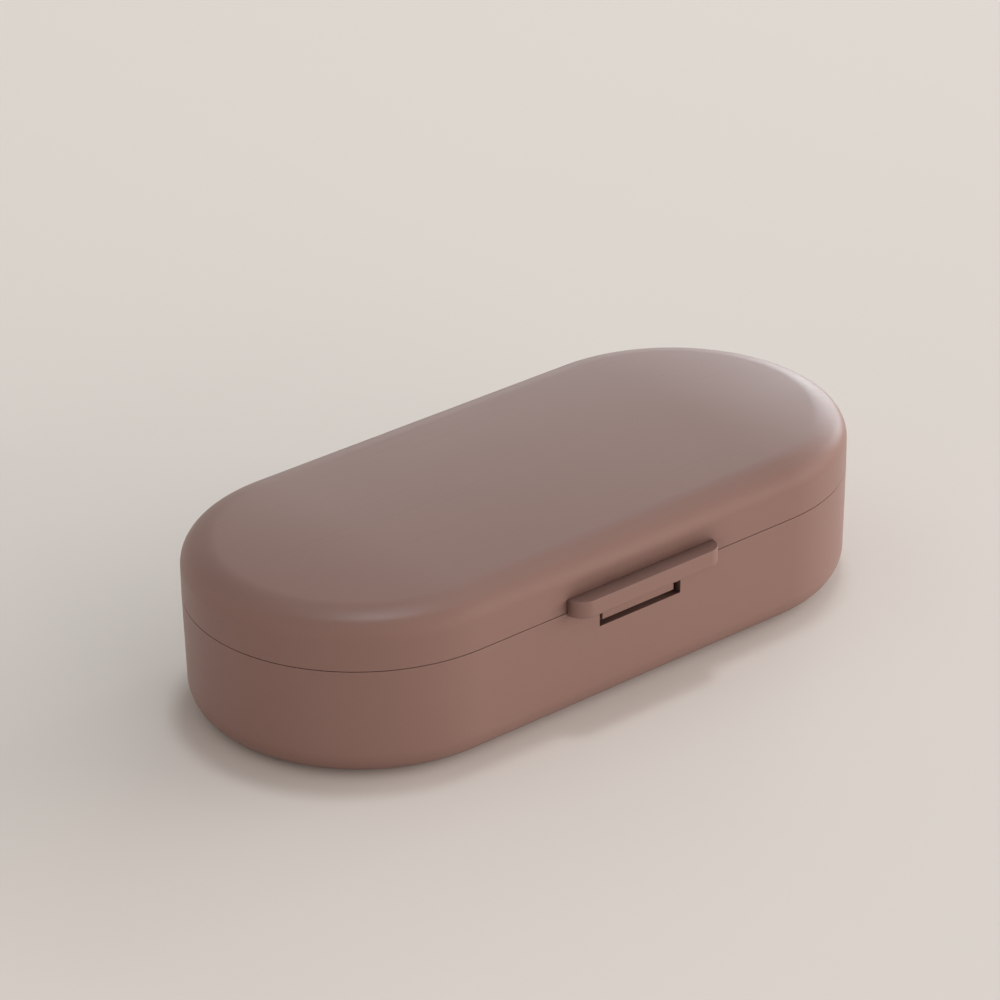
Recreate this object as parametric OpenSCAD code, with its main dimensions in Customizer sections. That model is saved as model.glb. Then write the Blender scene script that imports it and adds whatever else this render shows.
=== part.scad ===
// Oblong pill case: a hinged lid with a thumb ledge and snap tongue closes on a base that holds
// a lift-out tray, parted into wells by a fixed centre wall and cross dividers that lift out.
// X runs along the case, the latch faces -Y, the hinge faces +Y, and Z = 0 is the flat underside.

/* [Case] */
// Overall length of the case
case_l = 120; // [100:1:150]
// Width of the case, without its thumb ledge and hinge
case_w = 56; // [48:1:66]
// Overall height with the lid closed
case_h = 28.6; // [27:0.2:36]
// Height of the seam between base and lid
seam_z = 18.8; // [14:0.2:20]
// Width of the line that shows along the seam
seam_gap = 0.3; // [0.2:0.05:0.5]
// Radius of the rounding along the top edge of the lid
lid_round = 4.2; // [2.5:0.1:5]
// How far the top swells above its rounded edge
crown_rise = 1.0; // [0.5:0.1:2]
// Radius of the rounding round the foot
foot_round = 4.6; // [3:0.1:6]
// How far each side of the base draws in from seam to foot
draft = 0.35; // [0.1:0.05:1]

/* [Walls and clearances] */
// Wall of the lid
lid_wall = 1.5; // [1.2:0.1:2]
// Floor of the base
floor_t = 2.0; // [1.4:0.1:3]
// Radius inside the base between wall and floor
base_inside_round = 3.0; // [2:0.1:5]
// Thickness of the lip that stands up inside the lid
lip_t = 0.85; // [0.6:0.05:1.2]
// Height of the lip above the seam
lip_h = 1.0; // [0.6:0.1:1.6]
// Clearance between the lip and the lid
lip_gap = 0.15; // [0.1:0.05:0.4]

/* [Latch] */
// Length of the thumb ledge
ledge_l = 30; // [20:1:40]
// How far the thumb ledge stands out from the wall
ledge_d = 3.0; // [2:0.1:5]
// Height of the top of the ledge above the seam
ledge_up = 2.3; // [1:0.1:3.5]
// How far the ledge hangs below the seam
ledge_down = 0.55; // [0.3:0.05:1.5]
// Clearance between the hanging part of the ledge and the base
ledge_gap = 0.2; // [0.1:0.05:0.5]
// Width of the snap tongue
tongue_w = 14.7; // [10:0.1:16]
// How far the tongue reaches below the seam
tongue_drop = 4.1; // [3:0.1:4.5]
// How far the face of the tongue lies behind the wall
tongue_recess = 0.55; // [0.3:0.05:0.8]
// Width of the notch in the base that takes the tongue
notch_w = 16.6; // [15.5:0.1:19]
// How far the notch reaches below the seam
notch_drop = 4.75; // [4.4:0.05:7]
// How far the snap bead stands out from the back of the tongue
bead_h = 0.1; // [0.05:0.01:0.1]

/* [Hinge] */
// Outer radius of the hinge knuckles
knuckle_r = 1.4; // [1.2:0.05:2.5]
// Clearance between a knuckle and the wall that turns past it
hinge_gap = 0.2; // [0.15:0.05:0.5]
// Radius of the hinge pins
pin_r = 0.6; // [0.4:0.05:0.8]
// Length of the knuckle on the lid in each hinge
lid_knuckle_l = 9; // [5:0.5:12]
// Length of each of the two knuckles on the base in each hinge
base_knuckle_l = 4.5; // [3:0.5:5]
// Gap between neighbouring knuckles
knuckle_gap = 0.2; // [0.15:0.05:0.5]
// Distance from the end of the straight back to each hinge
hinge_inset = 2.8; // [1:0.1:8]
// Radial clearance of the pins where they turn in the lid
running_gap = 0.06; // [0.03:0.01:0.1]
// Radial clearance of the pins where they are held in the base
held_gap = 0.02; // [0.01:0.01:0.04]

/* [Tray] */
// Space between the tray and the wall of the base
tray_gap = 0.5; // [0.3:0.05:2]
// Space between the tray and the floor of the base
tray_lift = 0.3; // [0.2:0.05:2]
// Wall of the tray
tray_wall = 1.2; // [0.8:0.1:2]
// Floor of the tray
tray_floor = 1.2; // [0.8:0.1:2]
// Thickness of the flange that hangs the tray on the lip
flange_t = 0.8; // [0.6:0.05:1.2]
// Radius inside the wells between wall and floor
well_round = 3.0; // [1.5:0.1:5]
// Radius outside the tray between wall and floor
tray_round = 3.6; // [3:0.1:6]
// Thickness of the fixed wall along the middle of the tray
centre_wall = 1.2; // [0.8:0.1:2]

/* [Dividers] */
// Thickness of a divider
divider_t = 1.2; // [0.8:0.1:2]
// Clearance round a divider
divider_gap = 0.15; // [0.1:0.05:0.3]
// Thickness of the ribs that guide a divider
guide_t = 0.8; // [0.6:0.1:1.5]
// How far the guide ribs stand out
guide_d = 0.9; // [0.6:0.1:1.5]
// How far the guide ribs stop below the top of the tray
guide_stop = 1.5; // [0.5:0.1:4]
// Depth of the finger dip in the top of a divider
dip_depth = 2.5; // [1:0.1:5]
// Radius of the finger dip
dip_r = 9; // [6:0.5:12]

/* [Lid lining] */
// Height of the seal
seal_h = 1.0; // [0.8:0.1:1.5]
// Width of the seal
seal_w = 1.2; // [0.8:0.1:1.6]
// Clearance above the flange of the tray, which the seal closes when it is pressed
seal_gap = 0.05; // [0.02:0.01:0.2]
// Clearance round the seal and the liner
lining_gap = 0.1; // [0.05:0.05:0.3]
// Clearance between the walls of the wells and the liner
cover_gap = 0.3; // [0.2:0.05:0.6]
// Thickness of the flange of the liner over the seal
liner_t = 1.0; // [0.8:0.1:1.5]
// Thickness of the ribs in the lid that back the liner
rib_t = 1.2; // [0.8:0.1:2]
// Distance of each rib from the middle of the lid
rib_y = 13; // [8:0.5:17]

/* [Hidden] */

shell_colour = "#98766b";
tray_colour = "#ece6dc";
seal_colour = "#d9d6d0";
steel_colour = "#b9b9bb";

LEFT = -1;
MIDDLE = 0;
RIGHT = 1;
FRONT = -1;
REAR = 1;
UP = 1;
DOWN = -1;

// A length by which cuts run past a face
past = 1;
// How deep the knuckle webs and the ledge root into a wall
root = 0.6;

// Plan of the case: two half rounds, and the straight stretch between their centres
body_r = case_w / 2;
span = (case_l - case_w) / 2;

// Levels and radii round the seam
shoulder_z = seam_z - seam_gap / 2;
rim_z = seam_z + seam_gap / 2;
lid_in_r = body_r - lid_wall;
lip_r = lid_in_r - lip_gap;
base_in_r = lip_r - lip_t;
lip_z = seam_z + lip_h;

// The crown is an arc that runs smoothly into the rounding of the top edge
round_x = body_r - lid_round;
wall_top = case_h - crown_rise - lid_round;
crown_drop = (pow(round_x, 2) - pow(crown_rise, 2)) / (2 * crown_rise);
crown_z = wall_top - crown_drop;
crown_r = crown_drop + crown_rise + lid_round;
crown_lean = atan2(crown_drop, round_x);

// The wall of the base leans by its draft, and runs smoothly into the rounding of the foot
lean = atan2(draft, seam_z);
foot_x = body_r - draft * (1 - foot_round / seam_z) - foot_round / cos(lean);
foot_tangent = [foot_x + foot_round * cos(lean), foot_round * (1 - sin(lean))];

// Tray
tray_z = floor_t + tray_lift;
tray_r = base_in_r - tray_gap;
tray_top = lip_z + flange_t;
well_z = tray_z + tray_floor;
well_r = tray_r - tray_wall;
COLUMNS = 4;
column_l = 2 * (span + well_r) / COLUMNS;

// Lid lining
seal_r = lid_in_r - lining_gap;
seal_z = tray_top + seal_gap;
liner_z = seal_z + seal_h;
liner_top = liner_z + liner_t;
liner_low_r = seal_r - seal_w - lining_gap;
// How far the rounded inside of the lid closes in at the top of the liner
inside_round = lid_round - lid_wall;
liner_over = max(0, liner_top - wall_top);
liner_draw = inside_round - sqrt(pow(inside_round, 2) - pow(liner_over, 2));
liner_r = lid_in_r - lining_gap - liner_draw;

// Hinge
hinge_y = body_r + knuckle_r + hinge_gap;
hinge_l = lid_knuckle_l + 2 * (base_knuckle_l + knuckle_gap);
hinge_x = span - hinge_inset - hinge_l / 2;
base_knuckle_x = (lid_knuckle_l + base_knuckle_l) / 2 + knuckle_gap;

// Latch
tongue_y = -(body_r - tongue_recess);
bead_r = 0.4;
bead_l = tongue_w - 4;
bead_z = seam_z - tongue_drop + 1.1;
groove_depth = 0.2;

$fn = 96;

// A half profile carried round the oblong: its x is the distance from the centre line, its y the height
module round_the_oblong() {
    for (side = [0, 1])
        mirror([side, 0, 0]) translate([span, 0, 0]) rotate([0, 0, -90])
            rotate_extrude(angle = 180) children();
    rotate([90, 0, 90]) linear_extrude(2 * span, center = true) {
        children();
        mirror([1, 0, 0]) children();
    }
}

// The plan of the case with its ends at radius r
module oblong(r) {
    for (side = [LEFT, RIGHT]) translate([side * span, 0]) circle(r);
    square([2 * span, 2 * r], center = true);
}

module oblong_plate(r, low, high) {
    translate([0, 0, low]) linear_extrude(high - low) oblong(r);
}

// Half profile of a tub with a rounded edge round its floor
module tub_profile(r, low, high, edge) {
    translate([0, low]) square([r - edge, high - low]);
    translate([0, low + edge]) square([r, high - low - edge]);
    translate([r - edge, low + edge]) circle(edge);
}

// Half profile of the lid, or of its hollow when it is set in by the wall
module lid_profile(inset, low) {
    far = crown_r + past;
    translate([0, low]) square([body_r - inset, wall_top - low]);
    translate([round_x, wall_top]) intersection() {
        circle(lid_round - inset);
        square(lid_round);
    }
    intersection() {
        translate([0, crown_z]) circle(crown_r - inset, $fn = 720);
        polygon([[0, low], [round_x, low], [round_x, wall_top],
            [far * cos(crown_lean), crown_z + far * sin(crown_lean)], [0, crown_z + far]]);
    }
}

// Half profile of the outside of the base, without its lip
module base_profile() {
    polygon([[0, 0], [foot_x, 0], [foot_x, foot_round], foot_tangent,
        [body_r - draft * (1 - shoulder_z / seam_z), shoulder_z], [0, shoulder_z]]);
    translate([foot_x, foot_round]) circle(foot_round);
}

// A knuckle on the hinge axis, with the web that roots it in the wall above or below the seam
module knuckle(x, length, way, bore_r) {
    foot = knuckle_r + hinge_gap;
    translate([x, hinge_y, seam_z]) difference() {
        rotate([90, 0, 90]) linear_extrude(length, center = true) {
            circle(knuckle_r);
            polygon([[-foot - root, way * seam_gap / 2], [0, way * seam_gap / 2], [0, way * knuckle_r],
                [-foot, way * (knuckle_r + foot)], [-foot - root, way * (knuckle_r + foot)]]);
        }
        rotate([0, 90, 0]) cylinder(r = bore_r, h = length + 2 * past, center = true, $fn = 48);
    }
}

module hinge_pin(side) {
    color(steel_colour) translate([side * hinge_x, hinge_y, seam_z]) rotate([0, 90, 0])
        cylinder(r = pin_r, h = hinge_l, center = true, $fn = 48);
}

module base_shell() {
    color(shell_colour) {
        difference() {
            round_the_oblong() difference() {
                union() {
                    base_profile();
                    translate([base_in_r, floor_t]) square([lip_t, lip_z - floor_t]);
                }
                tub_profile(base_in_r, floor_t, lip_z + past, base_inside_round);
            }
            // Notch in front of the lip for the tongue, and the groove that its bead clicks into
            translate([-notch_w / 2, -body_r - past, seam_z - notch_drop])
                cube([notch_w, body_r + past - lip_r, notch_drop + past]);
            translate([0, -lip_r + groove_depth - bead_r, bead_z]) rotate([0, 90, 0])
                cylinder(r = bead_r, h = bead_l + 1, center = true, $fn = 32);
        }
        for (side = [LEFT, RIGHT], end = [LEFT, RIGHT])
            knuckle(side * hinge_x + end * base_knuckle_x, base_knuckle_l, DOWN, pin_r + held_gap);
    }
}

module compartment_tray() {
    color(tray_colour) difference() {
        round_the_oblong() {
            tub_profile(tray_r, tray_z, tray_top, tray_round);
            translate([well_r, lip_z]) square([lip_r - well_r, flange_t]);
        }
        difference() {
            round_the_oblong() tub_profile(well_r, well_z, tray_top + past, well_round);
            translate([0, 0, tray_top / 2]) cube([case_l, centre_wall, tray_top], center = true);
            for (column = [LEFT, MIDDLE, RIGHT], end = [LEFT, RIGHT])
                translate([column * column_l + end * (divider_t + guide_t + 2 * divider_gap) / 2, 0, 0])
                    divider_guides();
        }
    }
}

// Ribs up both side walls and both faces of the centre wall, along one side of a row of dividers
module divider_guides() {
    top = tray_top - guide_stop;
    for (reach = [[-well_r - past, guide_d - well_r], [-centre_wall / 2 - guide_d, centre_wall / 2 + guide_d],
            [well_r - guide_d, well_r + past]])
        translate([-guide_t / 2, reach[0], 0]) cube([guide_t, reach[1] - reach[0], top]);
}

module divider(row, column) {
    inner = centre_wall / 2 + divider_gap;
    outer = well_r - divider_gap;
    color(tray_colour) translate([column * column_l, 0, 0]) rotate([90, 0, 90])
        linear_extrude(divider_t, center = true) mirror([row == FRONT ? 1 : 0, 0]) difference() {
            intersection() {
                tub_profile(outer, well_z, tray_top, well_round);
                translate([inner, 0]) square([outer, tray_top + past]);
            }
            translate([(inner + outer) / 2, tray_top - dip_depth + dip_r]) circle(dip_r);
        }
}

module lid_shell() {
    color(shell_colour) {
        round_the_oblong() difference() {
            lid_profile(0, rim_z);
            lid_profile(lid_wall, rim_z - past);
        }
        thumb_ledge();
        for (side = [LEFT, RIGHT])
            knuckle(side * hinge_x, lid_knuckle_l, UP, pin_r + running_gap);
        // Ribs that back the liner
        intersection() {
            round_the_oblong() lid_profile(lid_wall / 2, rim_z);
            for (side = [FRONT, REAR])
                translate([-span, side * rib_y - rib_t / 2, liner_top]) cube([2 * span, rib_t, case_h]);
        }
    }
}

// Plan of the thumb ledge, a bar whose outer corners are quarter rounds, kept up to the line y = back
module ledge_plan(back) {
    intersection() {
        union() {
            for (side = [LEFT, RIGHT]) translate([side * (ledge_l / 2 - ledge_d), -body_r]) circle(ledge_d);
            translate([0, -body_r]) square([ledge_l - 2 * ledge_d, 2 * ledge_d], center = true);
        }
        translate([-ledge_l, -body_r - 2 * ledge_d]) square([2 * ledge_l, back + body_r + 2 * ledge_d]);
    }
}

module thumb_ledge() {
    low = seam_z - ledge_down;
    translate([0, 0, rim_z]) linear_extrude(seam_z + ledge_up - rim_z) ledge_plan(-body_r + root);
    translate([0, 0, low]) linear_extrude(rim_z - low) ledge_plan(-body_r - ledge_gap);
}

module lid_liner() {
    color(tray_colour) {
        oblong_plate(liner_low_r, tray_top + cover_gap, liner_z);
        oblong_plate(liner_r, liner_z, liner_top);
    }
}

module seal_ring() {
    color(seal_colour) translate([0, 0, seal_z]) linear_extrude(seal_h) difference() {
        oblong(seal_r);
        oblong(seal_r - seal_w);
    }
}

module latch_tongue() {
    color(shell_colour) {
        translate([-tongue_w / 2, tongue_y, seam_z - tongue_drop])
            cube([tongue_w, -lid_in_r - tongue_y, rim_z - seam_z + tongue_drop]);
        translate([0, -lid_in_r + bead_h - bead_r, bead_z]) rotate([0, 90, 0])
            cylinder(r = bead_r, h = bead_l, center = true, $fn = 32);
    }
}

base_shell();
compartment_tray();
divider(FRONT, LEFT);  // divider_front_left
divider(FRONT, MIDDLE);  // divider_front_middle
divider(FRONT, RIGHT);  // divider_front_right
divider(REAR, LEFT);  // divider_rear_left
divider(REAR, MIDDLE);  // divider_rear_middle
divider(REAR, RIGHT);  // divider_rear_right
hinge_pin(LEFT);  // hinge_pin_left
hinge_pin(RIGHT);  // hinge_pin_right
lid_shell();
lid_liner();
seal_ring();
latch_tongue();
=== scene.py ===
# Oblong pill case: satin moulded shell, snap tongue under a thumb ledge, milky tray with
# lift-out dividers, silicone seal and steel hinge pins. X runs along the case, the latch
# faces -Y, the hinge faces +Y, and Z = 0 is the flat underside. Lengths are in metres.
import math

import bmesh
import bpy
from mathutils import Matrix, Vector


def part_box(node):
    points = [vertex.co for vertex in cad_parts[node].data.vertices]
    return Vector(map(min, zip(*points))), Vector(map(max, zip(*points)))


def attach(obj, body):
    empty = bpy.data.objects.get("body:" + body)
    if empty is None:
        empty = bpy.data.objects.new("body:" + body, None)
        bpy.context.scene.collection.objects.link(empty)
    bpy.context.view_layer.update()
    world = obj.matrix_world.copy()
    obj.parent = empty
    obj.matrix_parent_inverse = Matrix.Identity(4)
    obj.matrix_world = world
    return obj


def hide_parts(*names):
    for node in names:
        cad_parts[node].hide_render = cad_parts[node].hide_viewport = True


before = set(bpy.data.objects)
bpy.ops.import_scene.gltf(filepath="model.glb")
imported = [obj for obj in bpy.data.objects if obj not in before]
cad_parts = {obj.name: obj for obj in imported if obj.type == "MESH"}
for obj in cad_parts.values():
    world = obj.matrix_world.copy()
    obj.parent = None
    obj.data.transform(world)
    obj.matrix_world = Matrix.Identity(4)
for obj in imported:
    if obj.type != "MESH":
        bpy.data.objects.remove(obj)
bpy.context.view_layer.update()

MM = 0.001

# A name's last letter: L is a length along X, W a width, T a thickness, D a depth, R a radius
# or a distance from the centre line, and X, Y or Z a place on that axis.

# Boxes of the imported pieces
BASE_LOW, BASE_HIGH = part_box("base_shell")
LID_LOW, LID_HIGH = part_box("lid_shell")
TRAY_LOW, TRAY_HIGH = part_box("compartment_tray")
DIVIDER_LOW, DIVIDER_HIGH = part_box("divider_rear_right")
LINER_LOW, LINER_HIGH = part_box("lid_liner")
SEAL_LOW, SEAL_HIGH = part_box("seal_ring")
TONGUE_LOW, TONGUE_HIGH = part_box("latch_tongue")
PIN_LOW, PIN_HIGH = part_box("hinge_pin_right")

# Case: two half rounds and the straight stretch between their centres
BODY_R = -BASE_LOW.y
SPAN = BASE_HIGH.x - BODY_R
CASE_H = LID_HIGH.z
SEAM_Z = (PIN_LOW.z + PIN_HIGH.z) / 2
DRAFT = 0.35 * MM
FOOT_ROUND = 4.6 * MM
LID_EDGE_R = 3.6 * MM
LID_SHOULDER_R = 10 * MM
SHOULDER_TILT = 27
CROWN_TILT = 4.8
LINING_GAP = 0.1 * MM
LID_IN_R = SEAL_HIGH.y + LINING_GAP
LID_WALL = BODY_R - LID_IN_R
FLOOR_T = 2.0 * MM
BASE_INSIDE_ROUND = 3.0 * MM
LIP_R = TRAY_HIGH.y
LIP_T = 0.85 * MM
BASE_IN_R = LIP_R - LIP_T
LIP_Z = SEAM_Z + 1.0 * MM
LIP_EDGE = 0.25 * MM

# Seam: the rims as shown, nearer each other than the solids' rims are
SOLID_RIM_Z = TONGUE_HIGH.z
SEAM_GAP = 0.12 * MM
LID_RIM_Z = SEAM_Z + SEAM_GAP / 2
BASE_RIM_Z = SEAM_Z - SEAM_GAP / 2
RIM_EDGE = 0.05 * MM

# Ribs that hold the liner, which end inside the lid's wall
RIB_Y = 13 * MM
RIB_T = 1.2 * MM
RIB_TOP = CASE_H - 0.7 * LID_WALL
RIB_EDGE = 0.2 * MM

# Latch
LEDGE_L = 30 * MM
LEDGE_D = -LID_LOW.y - BODY_R
LEDGE_LOW = SEAM_Z - 0.55 * MM
LEDGE_HIGH = SEAM_Z + 2.3 * MM
LEDGE_GAP = 0.2 * MM
LEDGE_ROOT = 0.6 * MM
LEDGE_STEP_Z = SOLID_RIM_Z + 0.2 * MM
LEDGE_TOP_EDGE = 0.15 * MM
LEDGE_LOW_EDGE = 0.4 * MM
NOTCH_W = 16.6 * MM
NOTCH_Z = SEAM_Z - 4.75 * MM
NOTCH_EDGE = 0.12 * MM
TONGUE_EDGE = 0.15 * MM
BEAD_R = 0.4 * MM
BEAD_L = 10.7 * MM
BEAD_END = 0.9 * BEAD_R
BEAD_Z = TONGUE_LOW.z + 1.1 * MM
GROOVE_DEPTH = 0.2 * MM
GROOVE_L = BEAD_L + 1 * MM

# Hinge
HINGE_Y = (PIN_LOW.y + PIN_HIGH.y) / 2
HINGE_X = (PIN_LOW.x + PIN_HIGH.x) / 2
HINGE_L = PIN_HIGH.x - PIN_LOW.x
PIN_R = (PIN_HIGH.z - PIN_LOW.z) / 2
KNUCKLE_R = BASE_HIGH.y - HINGE_Y
KNUCKLE_GAP = 0.2 * MM
KNUCKLE_LOW = SOLID_RIM_Z - SEAM_Z + 0.04 * MM
LID_KNUCKLE_L = 9 * MM
BASE_KNUCKLE_L = (HINGE_L - LID_KNUCKLE_L) / 2 - KNUCKLE_GAP
BASE_KNUCKLE_X = (LID_KNUCKLE_L + BASE_KNUCKLE_L) / 2 + KNUCKLE_GAP
WEB_DROP = 3.0 * MM
WEB_ROOT = 0.6 * MM
KNUCKLE_EDGE = 0.12 * MM
RUNNING_GAP = 0.06 * MM
HELD_GAP = 0.02 * MM

# Tray and dividers
TRAY_WALL = 1.2 * MM
TRAY_ROUND = 3.6 * MM
WELL_ROUND = 3.0 * MM
WELL_Z = DIVIDER_LOW.z
DIVIDER_GAP = 0.15 * MM
WELL_R = DIVIDER_HIGH.y + DIVIDER_GAP
TRAY_R = WELL_R + TRAY_WALL
TRAY_EDGE = 0.3 * MM
CENTRE_WALL = 2 * (DIVIDER_LOW.y - DIVIDER_GAP)
CENTRE_FOOT = 0.6 * MM
CENTRE_TOP = TRAY_HIGH.z - 0.05 * MM
CENTRE_EDGE = 0.35 * MM
DIVIDER_T = DIVIDER_HIGH.x - DIVIDER_LOW.x
COLUMN_L = (DIVIDER_LOW.x + DIVIDER_HIGH.x) / 2
DIVIDER_EDGE = 0.25 * MM
DIVIDER_TOP_ROUND = 0.5 * MM
DIVIDER_FOOT_ROUND = 0.9 * MM
DIP_DEPTH = 2.5 * MM
DIP_W = 15 * MM
GUIDE_T = 0.8 * MM
GUIDE_D = 0.9 * MM
GUIDE_STOP = 1.5 * MM
GUIDE_EDGE = 0.2 * MM

# Lining
PANEL_R = LINER_HIGH.y - 1.3 * MM
PANEL_FRAME = 3.5 * MM
PANEL_SUNK = 0.25 * MM
PANEL_SLOPE = 0.3 * MM
PANEL_EDGE = 0.3 * MM
PANEL_SMALL_EDGE = 0.2 * MM
SEAL_W = 1.2 * MM
SEAL_BACK_EDGE = 0.08 * MM
SEAL_LIP_EDGE = 0.55 * MM

# For joins and cuts: what goes into a wall or past a face, and what keeps two faces apart
SUNK_IN = 0.5 * MM
PAST = 1 * MM
APART = 0.01 * MM

# How finely curves are cut, in steps or degrees
END_STEPS = 96
CROWN_STEPS = 12
SHOULDER_STEPS = 8
LID_EDGE_STEPS = 12
FOOT_STEPS = 14
LEDGE_STEPS = 16
BARREL_STEPS = 40
DIP_STEPS = 24
EASED_STEPS = 3
TURN_STEP = 15

# Points nearer than this are one; edges sharper than these, in degrees, are eased or shown sharp
SAME_POINT = MM / 10000
EASED_ANGLE = 40
SHARP_ANGLE = 35

# Left and right, and the two rows of wells
SIDES = {"left": -1, "right": 1}
COLUMNS = {"left": -1, "middle": 0, "right": 1}
ROWS = {"front": -1, "rear": 1}


def arc(x, z, radius, start, end, steps):
    """Points of an arc round (x, z), with its angles in degrees."""
    turns = [math.radians(start + (end - start) * k / steps) for k in range(steps + 1)]
    return [(x + radius * math.cos(a), z + radius * math.sin(a)) for a in turns]


def rounded(corners, closed=False):
    """A path through corners (x, z, radius), each turned by an arc of its own radius."""
    path = []
    count = len(corners)
    for i, (x, z, radius) in enumerate(corners):
        here = Vector((x, z))
        if radius == 0 or (not closed and i in (0, count - 1)):
            path.append((x, z))
            continue
        back = (Vector(corners[i - 1][:2]) - here).normalized()
        ahead = (Vector(corners[(i + 1) % count][:2]) - here).normalized()
        half = back.angle(ahead) / 2
        middle = here + (back + ahead).normalized() * radius / math.sin(half)
        spoke = here + back * radius / math.tan(half) - middle
        turn = math.pi - 2 * half
        if back.x * ahead.y - back.y * ahead.x > 0:
            turn = -turn
        steps = max(2, math.ceil(abs(math.degrees(turn)) / TURN_STEP))
        for k in range(steps + 1):
            path.append(tuple(middle + Matrix.Rotation(turn * k / steps, 2) @ spoke))
    return path


def skin(bm, rings, closed_ring=True, closed_path=False):
    """Faces between neighbouring rings of vertices."""
    pairs = list(zip(rings, rings[1:]))
    if closed_path:
        pairs.append((rings[-1], rings[0]))
    for ring, after in pairs:
        count = len(ring)
        for i in range(count if closed_ring else count - 1):
            j = (i + 1) % count
            bm.faces.new((ring[i], ring[j], after[j], after[i]))


def round_the_oblong(profile, closed=False):
    """A half section (distance from the centre line, height) carried round the oblong."""
    bm = bmesh.new()
    rings = []
    for centre, first in ((SPAN, -90), (-SPAN, 90)):
        for k in range(END_STEPS + 1):
            turn = math.radians(first + 180 * k / END_STEPS)
            c, s = math.cos(turn), math.sin(turn)
            rings.append([bm.verts.new((centre + r * c, r * s, z)) for r, z in profile])
    skin(bm, rings, closed_ring=closed, closed_path=True)
    bmesh.ops.remove_doubles(bm, verts=bm.verts, dist=SAME_POINT)
    bmesh.ops.recalc_face_normals(bm, faces=bm.faces)
    return bm


def drawn_in(outline, inset):
    """The closed outline moved inward by inset all round."""
    points = [Vector(p) for p in outline]
    area = sum(a.x * b.y - b.x * a.y for a, b in zip(points, points[1:] + points[:1]))
    inward = 1 if area > 0 else -1
    moved = []
    for before, here, after in zip(points[-1:] + points[:-1], points, points[1:] + points[:1]):
        a, b = (here - before).normalized(), (after - here).normalized()
        normal = Vector((-a.y - b.y, a.x + b.x)) * inward
        moved.append(here + normal * inset / (1 + a.dot(b)))
    return moved


def bar(outline, low, high, edge, bore=0):
    """A bar along X from a YZ outline, with rounded ends, and bored round (0, 0) if asked."""
    bm = bmesh.new()
    ends = rounded([(low, edge, 0), (low, 0, edge), (high, 0, edge), (high, edge, 0)])[1:-1]
    walls = [[bm.verts.new((x, p.x, p.y)) for p in drawn_in(outline, inset)] for x, inset in ends]
    skin(bm, walls)
    rims = [[walls[0]], [walls[-1]]]
    if bore:
        hole = []
        for x, inset in ends:
            circle = arc(0, 0, bore + inset / 2, 0, 360, BARREL_STEPS)[:-1]
            hole.append([bm.verts.new((x, y, z)) for y, z in circle])
        skin(bm, hole)
        rims[0].append(hole[0])
        rims[1].append(hole[-1])
    for loops in rims:
        edges = [bm.edges.get((a, b)) for ring in loops for a, b in zip(ring, ring[1:] + ring[:1])]
        if bore:
            bmesh.ops.triangle_fill(bm, use_beauty=True, edges=edges)
        else:
            bm.faces.new(loops[0])
    bmesh.ops.recalc_face_normals(bm, faces=bm.faces)
    return bm


def turned(profile, steps=BARREL_STEPS):
    """A solid of revolution round the X axis, from (x, radius) points."""
    bm = bmesh.new()
    rings = []
    for k in range(steps):
        turn = 2 * math.pi * k / steps
        c, s = math.cos(turn), math.sin(turn)
        rings.append([bm.verts.new((x, r * c, r * s)) for x, r in profile])
    skin(bm, rings, closed_ring=False, closed_path=True)
    bmesh.ops.remove_doubles(bm, verts=bm.verts, dist=SAME_POINT)
    bmesh.ops.recalc_face_normals(bm, faces=bm.faces)
    return bm


def block(low, high, edge=0):
    """A block between two corners, with all its edges rounded, or square as a cutter needs it."""
    if edge == 0:
        bm = bmesh.new()
        low, high = Vector(low), Vector(high)
        stretch = Matrix.Diagonal((*(high - low), 1))
        bmesh.ops.create_cube(bm, size=1, matrix=Matrix.Translation((low + high) / 2) @ stretch)
        return bm
    outline = rounded([(low[1], low[2], edge), (high[1], low[2], edge),
                       (high[1], high[2], edge), (low[1], high[2], edge)], closed=True)
    return bar(outline, low[0], high[0], edge * 0.99)


def moved(bm, place):
    """The mesh shifted by place."""
    bmesh.ops.translate(bm, vec=Vector(place), verts=bm.verts)
    return bm


def mirrored(bm):
    """The mesh seen in a mirror that stands across the Z axis."""
    bmesh.ops.scale(bm, vec=(1, 1, -1), verts=bm.verts)
    bmesh.ops.reverse_faces(bm, faces=bm.faces)
    return bm


def loose(bm):
    """A scratch object that holds the mesh."""
    mesh = bpy.data.meshes.new("scratch")
    bm.to_mesh(mesh)
    bm.free()
    obj = bpy.data.objects.new("scratch", mesh)
    bpy.context.scene.collection.objects.link(obj)
    return obj


def worked(body, tools, operation):
    """The body with each tool joined to it or cut out of it."""
    stock = loose(body)
    for tool in tools:
        cutter = loose(tool)
        step = stock.modifiers.new("step", "BOOLEAN")
        step.operation = operation
        step.solver = "EXACT"
        step.object = cutter
        shape = stock.evaluated_get(bpy.context.evaluated_depsgraph_get())
        made = bpy.data.meshes.new_from_object(shape)
        stock.modifiers.clear()
        stock.data = made
        bpy.data.objects.remove(cutter)
    bm = bmesh.new()
    bm.from_mesh(stock.data)
    bpy.data.objects.remove(stock)
    bmesh.ops.remove_doubles(bm, verts=bm.verts, dist=SAME_POINT)
    return bm


def eased(bm, low, high, width):
    """Rounds the sharp edges whose middles lie between two corners."""
    edges = []
    for edge in bm.edges:
        middle = (edge.verts[0].co + edge.verts[1].co) / 2
        inside = all(a <= m <= b for a, m, b in zip(low, middle, high))
        if inside and edge.is_manifold and edge.calc_face_angle() > math.radians(EASED_ANGLE):
            edges.append(edge)
    bmesh.ops.bevel(bm, geom=edges, offset=width, offset_type="OFFSET", segments=EASED_STEPS,
                    profile=0.5, affect="EDGES", clamp_overlap=True)
    return bm


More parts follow.
